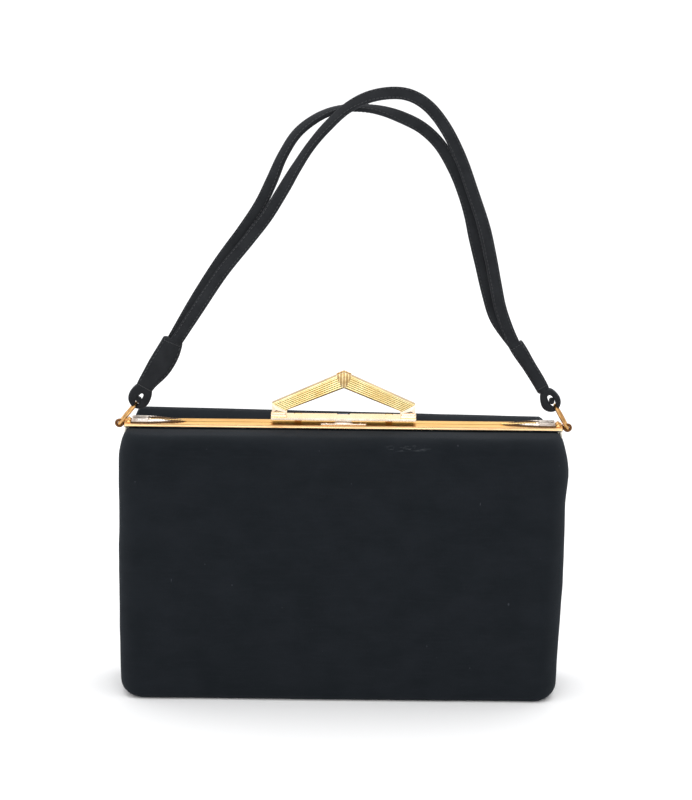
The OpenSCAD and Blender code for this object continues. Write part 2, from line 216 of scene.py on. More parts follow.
def bevelled_copy(node, name, material, width=0.25):
    """The CAD node's own shape with flat faces merged and its edges rounded."""
    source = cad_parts[node].data
    work = bmesh.new()
    work.from_mesh(source)
    bmesh.ops.remove_doubles(work, verts=work.verts, dist=0.002 * MM)
    bmesh.ops.dissolve_limit(work, angle_limit=math.radians(1), verts=work.verts, edges=work.edges)
    bmesh.ops.recalc_face_normals(work, faces=work.faces)
    mesh = bpy.data.meshes.new(name)
    work.to_mesh(mesh)
    work.free()
    mesh.polygons.foreach_set("use_smooth", [True] * len(mesh.polygons))
    obj = bpy.data.objects.new(name, mesh)
    bpy.context.scene.collection.objects.link(obj)
    mesh.materials.clear()
    mesh.materials.append(material)
    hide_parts(node)
    return crisp(obj, width)


def join(name, objects):
    """Joins objects into one, under one name."""
    bpy.ops.object.select_all(action="DESELECT")
    for obj in objects:
        obj.select_set(True)
    bpy.context.view_layer.objects.active = objects[0]
    bpy.ops.object.join()
    objects[0].name = name
    return objects[0]


def block(name, low, high, material, bevel=0.25):
    """A small block with rounded edges."""
    low, high = np.array(low, float), np.array(high, float)
    corners = [[(low, high)[i][0], (low, high)[j][1], (low, high)[k][2]] for i in (0, 1) for j in (0, 1) for k in (0, 1)]
    faces = [(0, 1, 3, 2), (4, 6, 7, 5), (0, 4, 5, 1), (2, 3, 7, 6), (0, 2, 6, 4), (1, 5, 7, 3)]
    return crisp(face_outward(make_object(name, corners, faces, material)), bevel)


def catmull(points, steps):
    """A smooth curve through points, with an even number of steps in each span."""
    points = np.asarray(points, float)
    out = []
    last = len(points) - 1
    for i in range(last):
        a, b, c, d = points[max(i - 1, 0)], points[i], points[i + 1], points[min(i + 2, last)]
        for f in np.arange(steps) / steps:
            out.append(
                0.5 * (2 * b + (c - a) * f + (2 * a - 5 * b + 4 * c - d) * f**2 + (3 * b - a - 3 * c + d) * f**3)
            )
    out.append(points[last])
    return np.array(out)


def declare_sheet(obj, grid, held, *rests_on):
    """Turns a piece of cloth's grid into metres and does nothing more with it."""
    grid = np.asarray(grid, float) * MM


def finish_piece(obj, body=None, nodes=()):
    """Hides the CAD nodes that the piece stands for and hangs it on the body that it rides on."""
    if nodes:
        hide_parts(*nodes)
    if body:
        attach(obj, body)
    return obj


# ---- materials ----

class Nodes:
    """A material's node tree with short calls for the nodes that the finishes share."""

    def __init__(self, name, color, roughness, metallic=0.0, **sockets):
        self.material = bpy.data.materials.new(name)
        self.material.use_nodes = True
        self.tree = self.material.node_tree
        self.shader = self.tree.nodes["Principled BSDF"]
        self.shader.inputs["Base Color"].default_value = (*color, 1)
        self.shader.inputs["Roughness"].default_value = roughness
        self.shader.inputs["Metallic"].default_value = metallic
        for socket, value in sockets.items():
            self.shader.inputs[socket.replace("_", " ")].default_value = value

    def node(self, kind, **settings):
        made = self.tree.nodes.new(kind)
        for key, value in settings.items():
            if hasattr(made, key):
                setattr(made, key, value)
            else:
                made.inputs[key.replace("_", " ")].default_value = value
        return made

    def link(self, source, target):
        self.tree.links.new(source, target)

    def place(self, kind, scale):
        """Object coordinates or the UV map, stretched by a scale along each axis."""
        coordinates = self.node("ShaderNodeTexCoord")
        mapping = self.node("ShaderNodeMapping")
        mapping.inputs["Scale"].default_value = scale
        self.link(coordinates.outputs[kind], mapping.inputs["Vector"])
        return mapping.outputs["Vector"]

    def noise(self, kind, scale, size, detail=4.0, roughness=0.55):
        made = self.node("ShaderNodeTexNoise", Scale=size, Detail=detail, Roughness=roughness)
        self.link(self.place(kind, scale), made.inputs["Vector"])
        return made.outputs["Fac"]

    def wave(self, kind, scale, direction, size, distortion=0.0):
        made = self.node("ShaderNodeTexWave", bands_direction=direction, Scale=size, Distortion=distortion)
        self.link(self.place(kind, scale), made.inputs["Vector"])
        return made.outputs["Fac"]

    def spread(self, value, low, high, to_low=0.0, to_high=1.0):
        """A value between low and high, spread to another range."""
        made = self.node("ShaderNodeMapRange")
        for socket, number in zip(("From Min", "From Max", "To Min", "To Max"), (low, high, to_low, to_high)):
            made.inputs[socket].default_value = number
        self.link(value, made.inputs["Value"])
        return made.outputs["Result"]

    def math(self, operation, first, second):
        made = self.node("ShaderNodeMath", operation=operation)
        for socket, value in zip(made.inputs, (first, second)):
            if isinstance(value, (int, float)):
                socket.default_value = value
            else:
                self.link(value, socket)
        return made.outputs["Value"]

    def mix(self, factor, first, second):
        """A colour mixed from two colours."""
        made = self.node("ShaderNodeMix", data_type="RGBA")
        self.link(factor, made.inputs["Factor"])
        for socket, value in zip((made.inputs[6], made.inputs[7]), (first, second)):
            if isinstance(value, tuple):
                socket.default_value = (*value, 1)
            else:
                self.link(value, socket)
        return made.outputs[2]

    def axes(self):
        """The object coordinates X, Y and Z, in metres."""
        coordinates = self.node("ShaderNodeTexCoord")
        split = self.node("ShaderNodeSeparateXYZ")
        self.link(coordinates.outputs["Object"], split.inputs["Vector"])
        return split.outputs

    def band(self, value, low, high, soft):
        """1 between two places in millimetres, with soft edges."""
        rise = self.spread(value, (low - soft) * MM, low * MM)
        fall = self.spread(value, high * MM, (high + soft) * MM, 1, 0)
        return self.math("MULTIPLY", rise, fall)

    def color(self, source):
        self.link(source, self.shader.inputs["Base Color"])

    def roughness(self, source):
        self.link(source, self.shader.inputs["Roughness"])

    def bump(self, height, strength, distance):
        """A bump over any bump that is there already. The distance is in millimetres."""
        made = self.node("ShaderNodeBump", Strength=strength, Distance=distance * MM)
        socket = self.shader.inputs["Normal"]
        if socket.is_linked:
            self.link(socket.links[0].from_socket, made.inputs["Normal"])
        self.link(height, made.inputs["Height"])
        self.link(made.outputs["Normal"], socket)


def cloth_material():
    """Matte napped black cloth: fine ribs, a soft nap, faint mottling and a rubbed spot on the front shoulder."""
    make = Nodes("black_cloth", (0.007, 0.009, 0.012), 0.92, Sheen_Weight=0.035, Sheen_Roughness=0.6,
                 Specular_IOR_Level=0.12)
    make.shader.inputs["Sheen Tint"].default_value = (0.75, 0.85, 1, 1)
    mottle = make.noise("Object", (1, 1, 1.4), 45, detail=5)
    fibre = make.noise("Object", (1, 1, 0.35), 2600, detail=2)
    streak = make.noise("Object", (0.35, 0.35, 3), 240, detail=3)
    base = make.mix(make.spread(mottle, 0.35, 0.68), (0.0044, 0.0064, 0.0086), (0.0068, 0.0089, 0.0118))
    base = make.mix(make.spread(streak, 0.5, 0.85, 0, 0.4), base, (0.0095, 0.0115, 0.015))
    lint = make.noise("Object", (1, 1, 0.6), 520, detail=0)
    base = make.mix(make.spread(lint, 0.87, 0.89), base, (0.026, 0.029, 0.035))
    x, y, z = make.axes()
    spot = make.math("MULTIPLY", make.band(x, 29, 44, 6), make.band(z, 149.4, 151.4, 0.8))
    spot = make.math("MULTIPLY", spot, make.spread(y, -10 * MM, -20 * MM))
    scuff = make.spread(make.noise("Object", (0.6, 1, 3), 420, detail=5), 0.52, 0.66)
    base = make.mix(make.math("MULTIPLY", spot, scuff), base, (0.04, 0.045, 0.05))
    make.color(base)
    make.roughness(make.spread(fibre, 0.2, 0.8, 0.82, 0.98))
    make.bump(make.wave("UV", (1, 1, 1), "Y", 1150, 0.4), 0.35, 0.06)
    make.bump(make.wave("UV", (1, 1, 1), "X", 1150, 0.4), 0.3, 0.05)
    make.bump(fibre, 0.35, 0.12)
    make.bump(mottle, 0.25, 0.3)
    return make.material


def strap_material():
    """Ribbed black cloth for the bands and tabs, a shade lighter than the body."""
    make = Nodes("strap_cloth", (0.01, 0.011, 0.013), 0.85, Sheen_Weight=0.06, Sheen_Roughness=0.5,
                 Specular_IOR_Level=0.2)
    make.shader.inputs["Sheen Tint"].default_value = (0.85, 0.88, 1, 1)
    mottle = make.noise("Object", (1, 1, 1), 120, detail=5)
    make.color(make.mix(make.spread(mottle, 0.35, 0.7), (0.0085, 0.0095, 0.0115), (0.0145, 0.016, 0.0185)))
    make.roughness(make.spread(make.noise("Object", (1, 1, 1), 1800, detail=2), 0.2, 0.8, 0.74, 0.94))
    make.bump(make.wave("UV", (1, 1, 1), "Y", 950, 0.6), 0.5, 0.1)
    make.bump(make.noise("Object", (1, 1, 1), 1500, detail=3), 0.4, 0.12)
    return make.material


def thread_material():
    """Waxed sewing thread, a little lighter than the cloth."""
    make = Nodes("thread", (0.016, 0.017, 0.02), 0.6, Sheen_Weight=0.1)
    twist = make.wave("Object", (1, 1, 1), "DIAGONAL", 2400, 0.2)
    make.color(make.mix(twist, (0.011, 0.012, 0.014), (0.022, 0.024, 0.028)))
    make.bump(twist, 0.4, 0.05)
    return make.material


def gold_material(name, color, deep, roughness, grain):
    """Gold-plated brass with a fine grain along X, soft stains and small scratches."""
    make = Nodes(name, color, roughness, metallic=1.0)
    make.shader.inputs["Specular Tint"].default_value = (1, 0.82, 0.55, 1)
    stain = make.noise("Object", (1, 1, 1), 90, detail=6)
    tint = make.mix(make.spread(stain, 0.42, 0.75), color, deep)
    brushed = make.noise("Object", (0.03, 1, 1), 2600, detail=3)
    make.color(make.mix(make.spread(brushed, 0.3, 0.75, 0, 0.45), tint, deep))
    make.roughness(make.spread(stain, 0.3, 0.75, roughness - 0.05, roughness + 0.12))
    make.bump(brushed, grain, 0.04)
    make.bump(make.noise("Object", (1, 1, 1), 420, detail=2), 0.12, 0.12)
    return make.material


def frame_gold_material():
    """The frame's gold: drawn lines along the top, painted shade along the seam and under the clasp plate, and a
    painted highlight that makes the lip pale.
    """
    make = Nodes("frame_gold", (0.8, 0.46, 0.19), 0.3, metallic=1.0)
    make.shader.inputs["Specular Tint"].default_value = (0.95, 0.7, 0.38, 1)
    x, y, z = make.axes()
    stain = make.noise("Object", (0.25, 1, 1), 160, detail=6)
    drawn = make.noise("Object", (0.01, 1, 1), 1500, detail=3)
    base = make.mix(make.spread(drawn, 0.38, 0.66), (0.93, 0.66, 0.38), (0.8, 0.5, 0.24))
    base = make.mix(make.spread(stain, 0.5, 0.75), base, (0.7, 0.41, 0.18))
    # Painted shade and painted reflection: the frame's top under the clasp plate is darkened for the plate's shadow and
    # its dark underside seen in the gold.
    under = make.math("MULTIPLY", make.band(x, 2 - PLATE_HIGH[0], PLATE_HIGH[0] - 2, 1.5), make.band(y, -4.9, 2.4, 0.5))
    base = make.mix(make.math("MULTIPLY", under, 0.92), base, (0.07, 0.035, 0.012))
    # Painted highlight: the lip's front face below the top is made pale cream in place of the front box's reflection.
    base = make.mix(make.spread(z, (TOP_Z - 1.2) * MM, (TOP_Z - 1.5) * MM), base, (1.0, 0.95, 0.82))
    # Painted shade: a dark line along the seam between the front and rear frame halves.
    seam = make.math("MULTIPLY", make.band(y, -0.35, 0.35, 0.25), make.spread(z, (TOP_Z - 1) * MM, TOP_Z * MM))
    base = make.mix(seam, base, (0.2, 0.1, 0.03))
    make.color(base)
    make.roughness(make.spread(stain, 0.3, 0.75, 0.22, 0.42))
    make.bump(drawn, 0.3, 0.08)
    make.bump(make.noise("Object", (1, 1, 1), 420, detail=2), 0.15, 0.15)
    return make.material


def reeded_gold_material():
    """Bright pale gold, tarnished brown down in the grooves between the reeds."""
    make = Nodes("reeded_gold", (0.92, 0.76, 0.38), 0.24, metallic=1.0)
    x, y, z = make.axes()
    depth = make.math("ABSOLUTE", y, 0)
    stain = make.noise("Object", (1, 1, 1), 110, detail=6)
    crest = make.mix(make.spread(stain, 0.42, 0.72), (0.97, 0.86, 0.5), (0.9, 0.7, 0.3))
    patchy = make.noise("Object", (1, 1, 1), 70, detail=3)
    groove = make.mix(make.spread(patchy, 0.35, 0.7), (0.45, 0.27, 0.07), (0.7, 0.48, 0.17))
    low, high = (BAR_HIGH[1] - 0.62) * MM, (BAR_HIGH[1] - 0.22) * MM
    make.color(make.mix(make.spread(depth, low, high), groove, crest))
    make.roughness(make.spread(stain, 0.3, 0.75, 0.18, 0.34))
    make.bump(make.noise("Object", (1, 1, 1), 700, detail=3), 0.12, 0.08)
    return make.material


def cap_material():
    """The cap's gold: browned lines down its facets."""
    make = Nodes("cap_gold", (0.86, 0.64, 0.32), 0.22, metallic=1.0)
    lines = make.wave("Object", (1, 1, 0.12), "X", 185, 1.2)
    stain = make.noise("Object", (1, 1, 1), 260, detail=5)
    base = make.mix(make.spread(stain, 0.4, 0.7), (0.92, 0.74, 0.42), (0.66, 0.42, 0.15))
    make.color(make.mix(make.spread(lines, 0.16, 0.4), (0.3, 0.15, 0.04), base))
    make.roughness(make.spread(stain, 0.3, 0.7, 0.18, 0.36))
    make.bump(lines, 0.3, 0.1)
    return make.material


def engraved_material():
    """Worn rose-silver plate, dark in the recesses of the relief."""
    make = Nodes("engraved_silver", (0.82, 0.72, 0.64), 0.3, metallic=1.0)
    x, y, z = make.axes()
    height = make.spread(z, (TOP_Z + 0.62) * MM, (TOP_Z + 1.1) * MM)
    stain = make.noise("Object", (1, 1, 1), 300, detail=5)
    worn = make.mix(make.spread(stain, 0.35, 0.7), (0.93, 0.85, 0.78), (0.62, 0.53, 0.46))
    worn = make.mix(height, (0.07, 0.04, 0.02), worn)
    low, high = box_mm("left_end_plate")
    mid_y = (low[1] + high[1]) / 2
    beside = make.spread(make.math("ABSOLUTE", x, 0), (-low[0] - 9.4) * MM, (-low[0] - 10) * MM)
    for groove_y in (mid_y - 2.4, mid_y + 1.2):
        groove = make.math("MULTIPLY", make.band(y, groove_y, groove_y + 1.2, 0.35), beside)
        worn = make.mix(groove, worn, (0.09, 0.05, 0.025))
    make.color(worn)
    make.roughness(make.spread(stain, 0.3, 0.7, 0.2, 0.42))
    make.bump(stain, 0.3, 0.1)
    return make.material


def satin_material():
    """Dark satin lining with a fine cross weave and soft creases."""
    make = Nodes("lining_satin", (0.045, 0.04, 0.045), 0.42, Sheen_Weight=0.5, Sheen_Roughness=0.35)
    crease = make.noise("Object", (1, 1, 0.5), 60, detail=4)
    make.color(make.mix(make.spread(crease, 0.3, 0.7), (0.032, 0.028, 0.033), (0.07, 0.062, 0.07)))
    make.roughness(make.spread(crease, 0.3, 0.7, 0.34, 0.52))
    make.bump(make.wave("UV", (1, 1, 1), "X", 1600), 0.25, 0.04)
    make.bump(crease, 0.5, 0.8)
    return make.material


def card_material():
    """Raw grey-brown pulp board with fibres."""
    make = Nodes("card_board", (0.4, 0.32, 0.22), 0.9)
    fibre = make.noise("Object", (1, 1, 1), 500, detail=6, roughness=0.7)
    make.color(make.mix(make.spread(fibre, 0.3, 0.7), (0.3, 0.23, 0.15), (0.48, 0.4, 0.29)))
    make.bump(fibre, 0.4, 0.1)
    return make.material


def steel_material():
    """Drawn spring wire."""
    make = Nodes("spring_steel", (0.55, 0.55, 0.57), 0.3, metallic=1.0)
    drawn = make.noise("Object", (1, 0.1, 1), 1800, detail=3)
    make.color(make.mix(drawn, (0.42, 0.42, 0.44), (0.66, 0.66, 0.68)))
    make.bump(drawn, 0.2, 0.03)
    return make.material


CLOTH = cloth_material()
STRAP = strap_material()
THREAD = thread_material()
GOLD = frame_gold_material()
CLASP_GOLD = gold_material("clasp_gold", (0.99, 0.9, 0.78), (0.92, 0.7, 0.5), 0.2, 0.15)
CAP_GOLD = cap_material()
SPEAR_GOLD = gold_material("spear_gold", (0.9, 0.66, 0.3), (0.6, 0.36, 0.12), 0.22, 0.1)
REEDED = reeded_gold_material()
RING_GOLD = gold_material("ring_gold", (0.72, 0.42, 0.17), (0.36, 0.18, 0.06), 0.26, 0.1)
EYE_GOLD = gold_material("eye_gold", (0.2, 0.09, 0.035), (0.09, 0.04, 0.015), 0.34, 0.1)
ENGRAVED = engraved_material()
SATIN = satin_material()
CARD = card_material()
STEEL = steel_material()


# ---- cover and lining ----

WALL_STEPS, ARC_STEPS, FACE_STEPS = 12, 9, 84


def half_outline(half_x, half_y, radius, edge, side):
    """Half a rounded rectangle from one end round to the other, and how far each point faces its end."""
    walls = [(-half_x, y, 1.0) for y in np.linspace(edge, half_y - radius, WALL_STEPS)[:-1]]
    arc = [
        (radius - half_x - radius * math.cos(a), half_y - radius + radius * math.sin(a), math.cos(a) ** 2)
        for a in np.linspace(0, math.pi / 2, ARC_STEPS)
    ]
    quarter = walls + arc
    face = [(x, half_y, 0.0) for x in np.linspace(radius - half_x, half_x - radius, FACE_STEPS)[1:-1]]
    other = [(-x, y, w) for x, y, w in reversed(quarter)]
    points = np.array(quarter + face + other)
    points[:, 1] *= side
    return points


def shell_grid(rows, edge, side):
    """A half-shell from rows of (half_x, half_y, radius, z at the face, z at the ends)."""
    grid = []
    for half_x, half_y, radius, face_z, end_z in rows:
        outline = half_outline(half_x, half_y, radius, edge, side)
        z = face_z + (end_z - face_z) * outline[:, 2]
        grid.append(np.column_stack([outline[:, 0], outline[:, 1], z]))
    return np.array(grid)


def uneven(grid, amounts, seed):
    """Moves points a little along X and Y by noise, with one amount for each wavelength."""
    for wavelength, amount in amounts:
        for row in grid:
            for point in row:
                place = Vector(point) / wavelength + Vector((seed, seed * 2.3, 0))
                shift = noise.noise_vector(place)
                point[0] += amount * shift[0]
                point[1] += amount * shift[1]
                point[2] += amount * shift[2] * (0.3 if point[2] > 2 else 0)
    return grid


def cover_grid(side):
    """The outer cloth of one half: base, rounded bottom edge, wall, shoulder and the turn-in to the frame."""
    corner, base, foot = 12.0, 3.6, 9.0
    shoulder_y, shoulder_x, shoulder_end = 9.0, 5.2, 15.0
    edge = 0.12
    rows = []
    for share in (0.0, 0.3, 0.6, 0.85):
        inner_y = edge + 0.02 + (HALF_D - base - edge) * share
        rows.append((HALF_W - foot - (HALF_D - base) * (1 - share), inner_y, 7.5 * share, 0.0, 0.0))
    for turn in np.linspace(0, math.pi / 2, 7):
        out = 1 - math.sin(turn)
        up = 1 - math.cos(turn)
        rows.append((HALF_W - foot * out, HALF_D - base * out, corner - 4 * out, base * up, foot * up))
    face_top, end_top = FABRIC_Z - shoulder_y, FABRIC_Z - shoulder_end
    for share in np.linspace(0, 1, 34)[1:]:
        rows.append((HALF_W, HALF_D, corner, base + (face_top - base) * share, foot + (end_top - foot) * share))
    for turn in np.linspace(0, math.pi / 2, 10)[1:]:
        out = 1 - math.cos(turn)
        up = math.sin(turn)
        rows.append((HALF_W - shoulder_x * out, HALF_D - shoulder_y * out, corner - 3 * out,
                     face_top + shoulder_y * up, end_top + shoulder_end * up))
    cap_y = HALF_D - shoulder_y
    for share in (0.25, 0.5, 0.75, 1.0):
        half_y = cap_y + (1.6 - cap_y) * share
        rows.append((HALF_W - shoulder_x - 3 * share, half_y, 9 + (1.0 - 9) * share, FABRIC_Z, FABRIC_Z))
    return shell_grid(rows, edge, side)


# How far the cover's right end stands out from even, at heights in millimetres: the bag is worn narrower low down.
WORN_HEIGHTS = (0, 24, 38, 65, 92, 118, 134, 146, 155)
WORN_SHIFTS = (-2.9, -2.8, -2.2, -1.2, -0.7, -0.3, 1.0, -0.4, -0.6)


def shape_cover(grid, side):
    """Puffs the faces, leans the ends in, tucks the cloth under the frame's ends and lifts the rear shoulder."""
    x, y, z = grid[..., 0].copy(), grid[..., 1].copy(), grid[..., 2].copy()
    across = np.clip(1 - (x / HALF_W) ** 2, 0, 1)
    upright = np.clip(1 - ((z - FABRIC_Z / 2) / (FABRIC_Z / 2)) ** 2, 0, 1)
    face = step(np.abs(y), HALF_D - 6, HALF_D)
    low_bulge = 0.9 * np.exp(-(((z - 9) / 14) ** 2)) * across**0.4
    grid[..., 1] += side * (0.7 * across * upright + low_bulge) * face
    end = step(np.abs(x), HALF_W - 4, HALF_W)
    grid[..., 0] += np.sign(x) * 0.5 * upright * end
    grid[..., 0] += np.interp(z, WORN_HEIGHTS, WORN_SHIFTS) * step(x, HALF_W - 60, HALF_W - 2)
    if side == REAR:
        ends = (1 - step(x, 113, 120.5)) * (1 - step(-x, 117, 123))
        lift = (3.3 - 0.0155 * x) * ends - 4.5 * (1 - ends)
        grid[..., 2] += lift * step(z, FABRIC_Z - 22, FABRIC_Z) * step(np.abs(y), 7.5, 17)
    tuck = step(z, FABRIC_Z - 9, FABRIC_Z - 6.6) * (1 - step(np.abs(y), 7.0, 10.5))
    limit = FRAME_END - 1.7
    over = np.clip(np.abs(grid[..., 0]) - limit, 0, None)
    grid[..., 0] -= np.sign(x) * over * tuck
    dip = step(z, FABRIC_Z - 3, FABRIC_Z) * (1 - step(np.abs(y), 6, 9))
    grid[..., 2] -= 0.6 * dip
    return grid


def build_cover(side):
    name = "front" if side == FRONT else "rear"
    grid = uneven(shape_cover(cover_grid(side), side), ((34, 0.45), (11, 0.16)), 3.1 + side)
    edge = 0.1
    grid[..., 1] = side * np.maximum(side * grid[..., 1], edge)
    grid[0, :, 1] = side * edge
    if side == REAR:
        grid = grid[:, ::-1]
    cover = sheet_object(name + "_cover", grid, CLOTH)
    thicken(cover, 0.8)
    declare_sheet(cover, grid, "stretched", name + "_board_lower", name + "_board_upper", "bottom_board")
    finish_piece(cover, nodes=(name + "_cover_upper", name + "_flex", "lower_cover"))
    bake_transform(cover)
    return cover


def lining_grid(side):
    half_x, half_y, floor = LINING_HIGH[0], LINING_HIGH[1], LINING_LOW[2] + 0.3
    top = FLANGE_HIGH[2]
    round_r = 3.0
    rows = []
    for share in (0.04, 0.35, 0.7):
        rows.append((half_x - round_r - half_y * (1 - share), 1.6 + (half_y - round_r - 1.6) * share,
                     3 * share, floor, floor))
    for turn in np.linspace(0, math.pi / 2, 5):
        out, up = round_r * (1 - math.sin(turn)), round_r * (1 - math.cos(turn))
        rows.append((half_x - out, half_y - out, 4.0, floor + up, floor + up))
    for share in np.linspace(0, 1, 22)[1:]:
        z = floor + round_r + (top - 2 - floor - round_r) * share
        rows.append((half_x, half_y, 4.0, z, z))
    rows.append((half_x - 0.8, half_y - 1, 4.0, top - 0.4, top - 0.4))
    for share in (0.2, 0.6, 1.0):
        rows.append((half_x - 2 - share, half_y - 2 + (3.6 - half_y) * share, 4 - 3 * share, top, top))
    return shell_grid(rows, 1.3, side)


def build_lining(side):
    name = "front" if side == FRONT else "rear"
    grid = uneven(lining_grid(side), ((26, 0.5), (9, 0.2)), 8.4 + side)
    grid[..., 1] = side * np.clip(side * grid[..., 1], 1.2, LINING_HIGH[1])
    if side == REAR:
        grid = grid[:, ::-1]
    lining = sheet_object(name + "_lining", grid, SATIN)
    thicken(lining, 0.5)
    declare_sheet(lining, grid, "stretched", name + "_board_lower", name + "_board_upper", "bottom_board")
    finish_piece(lining, nodes=(name + "_lining_upper", "lining_lower"))
    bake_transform(lining)
    return lining


def build_welt(x_side):
    """A narrow piped seam up the middle of each end, below the hinge."""
    name = SIDE_NAMES[x_side] + "_side_welt"
    low, high = 7.0, HINGE_Z + 3
    sections = []
    for z in np.linspace(low, high, 60):
        taper = float(step(np.array(z), low, low + 4) * (1 - step(np.array(z), high - 4, high)))
        lean = 9 - math.sqrt(max(81 - max(9 - z, 0) ** 2, 0))
        upright = 1 - ((z - FABRIC_Z / 2) / (FABRIC_Z / 2)) ** 2
        worn = np.interp(z, WORN_HEIGHTS, WORN_SHIFTS) if x_side == RIGHT else 0
        end_x = HALF_W + 0.5 * upright + 0.2 + worn
        ring = []
        for a in np.arange(12) * 2 * math.pi / 12:
            out = 0.75 * taper * math.cos(a)
            ring.append((x_side * (end_x - lean + out), 1.25 * (0.3 + 0.7 * taper) * math.sin(a), z))
        sections.append(ring)
    welt = tube_object(name, sections, CLOTH)
    return finish_piece(welt, "lower_body")


def build_pleat(x_side, y_side):
    """One leaf of the gusset, folded flat between the frame halves, and meeting its partner at the inner fold."""
    side_word = "front" if y_side == FRONT else "rear"
    node = f"{SIDE_NAMES[x_side]}_{side_word}_pleat"
    low, high = box_mm(node)
    inner, outer = (low[0], high[0]) if x_side == RIGHT else (high[0], low[0])
    y_mid = (low[1] + high[1]) / 2
    grid = []
    for z in np.linspace(low[2], high[2], 26):
        row = []
        for share in np.linspace(0, 1, 14):
            ripple = 0.1 * math.sin(share * 7 + z * 0.21) * share * (1 - share) * 4
            closing = y_side * 0.06 + (y_mid - y_side * 0.06) * float(step(np.array(share), 0, 0.3))
            row.append((inner + (outer - inner) * share, closing + ripple, z))
        grid.append(row)
    leaf = sheet_object(node + "_leaf", np.array(grid), SATIN)
    thicken(leaf, 0.3, offset=0)
    declare_sheet(leaf, grid, "folded", side_word + "_frame")
    finish_piece(leaf, nodes=(node,))
    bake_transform(leaf)
    return leaf


def build_pocket():
    """A flat lining pocket with a gathered, bound top edge."""
    low, high = box_mm("inner_pocket")
    y = low[1]
    grid = []
    for z in np.linspace(low[2], high[2], 24):
        upness = (z - low[2]) / (high[2] - low[2])
        row = []
        for x in np.linspace(low[0], high[0], 90):
            edge = min(1, (high[0] - abs(x)) / 6, (z - low[2]) / 4)
            gather = 0.35 * math.sin(x * 0.8) * upness**2
            row.append((x, y - (0.5 + gather) * max(edge, 0) + 0.4, z + 0.5 * math.sin(x * 0.11) * upness))
        grid.append(row)
    panel = sheet_object("pocket_panel", np.array(grid), SATIN)
    thicken(panel, 0.35, offset=0)
    top = grid[-1]
    binding = []
    for x, edge_y, z in top:
        binding.append([
            (x, edge_y + 0.45 * math.cos(a), z + 0.7 * math.sin(a)) for a in np.arange(10) * 2 * math.pi / 10
        ])
    rim = tube_object("pocket_rim", binding, SATIN)
    pocket = join("inner_pocket_panel", [panel, rim])
    declare_sheet(pocket, grid, "stretched", "rear_lining")
    return finish_piece(pocket, "rear_jaw", ("inner_pocket",))


# ---- metal frame and clasp ----

METAL_NODES = {
    "front_frame": ("front_jaw", 0.22),
    "rear_frame": ("rear_jaw", 0.22),
    "clasp_plate": ("clasp", 0.35),
    "latch_hook": ("clasp", 0.15),
    "left_hinge_rivet": ("lower_body", 0.3),
    "right_hinge_rivet": ("lower_body", 0.3),
    "clasp_rod": ("rear_jaw", 0.12),
}


def build_metal():
    for node, (body, width) in METAL_NODES.items():
        piece = bevelled_copy(node, node + "_metal", CLASP_GOLD if body == "clasp" else GOLD, width)
        finish_piece(piece, body)


def build_catch():
    """The strike plate: a riveted strip with a raised half-round catch in its middle."""
    low, high = box_mm("strike_plate")
    deck = low[2] + 1.0
    mid_y = (low[1] + high[1]) / 2
    strip = block("strike_strip", low, (high[0], high[1], deck), CLASP_GOLD, 0.3)
    radius = high[2] - deck
    sections = []
    for x in np.linspace(-5.6, 5.6, 40):
        size = math.sqrt(max(1 - (x / 5.7) ** 4, 0.03))
        sections.append([
            (x, mid_y - 1.25 * size * math.cos(a), deck - 0.1 + (radius + 0.1) * size * math.sin(a))
            for a in np.linspace(0, math.pi, 16)
        ])
    catch = tube_object("strike_catch", sections, ENGRAVED)
    studs = [dome("strike_stud" + str(k), (k * 9.6, mid_y, deck - 0.05), 1.0, 0.45, CLASP_GOLD) for k in (-1, 1)]
    strike = join("strike_plate_metal", [strip, catch] + studs)
    return finish_piece(strike, "front_jaw", ("strike_plate",))


CORNER_X = BAR_HIGH[0]
INNER_X = PLATE_HIGH[0] - 8.3
CORNER_H, INNER_H, POINT_H, PEAK_H = 7.6, 3.5, 17.0, 26.0
REEDS = 6


def build_bar():
    """The chevron: half-round reeds along both arms on both faces, mitred at the point and the corners."""
    depth = BAR_HIGH[1]
    outer = np.array([(-CORNER_X, CORNER_H), (0, PEAK_H), (CORNER_X, CORNER_H)])
    inner = np.array([(-INNER_X, INNER_H), (0, POINT_H), (INNER_X, INNER_H)])
    rim = 0.07
    reeded = []
    for g in np.linspace(rim, 1 - rim, REEDS * 12 + 1):
        wave = abs(math.sin(math.pi * REEDS * (g - rim) / (1 - 2 * rim)))
        reeded.append((g, depth - 0.8 + 0.78 * wave**0.4))
    profile = [(0.0, depth - 0.7), (0.012, depth - 0.25), (rim * 0.8, depth - 0.1)] + reeded
    profile += [(1 - rim * 0.8, depth - 0.1), (0.988, depth - 0.25), (1.0, depth - 0.7)]
    loop = profile + [(g, -d) for g, d in reversed(profile)]
    sections = []
    for station in np.linspace(0, 2, 33):
        k = min(int(station), 1)
        f = station - k
        top = outer[k] * (1 - f) + outer[k + 1] * f
        under = inner[k] * (1 - f) + inner[k + 1] * f
        section = []
        for g, d in loop:
            x, h = top * (1 - g) + under * g
            section.append((x, -d, PLATE_TOP + h))
        sections.append(section)
    bar = tube_object("clasp_chevron", sections, REEDED)
    mark_sharp(bar, 28)
    return finish_piece(bar, "clasp", ("clasp_bar",))


def mark_sharp(obj, angle):
    """Keeps edges over an angle sharp in a smooth-shaded mesh."""
    work = bmesh.new()
    work.from_mesh(obj.data)
    for edge in work.edges:
        if len(edge.link_faces) == 2 and edge.calc_face_angle(0) > math.radians(angle):
            edge.smooth = False
    work.to_mesh(obj.data)
    work.free()
    return obj


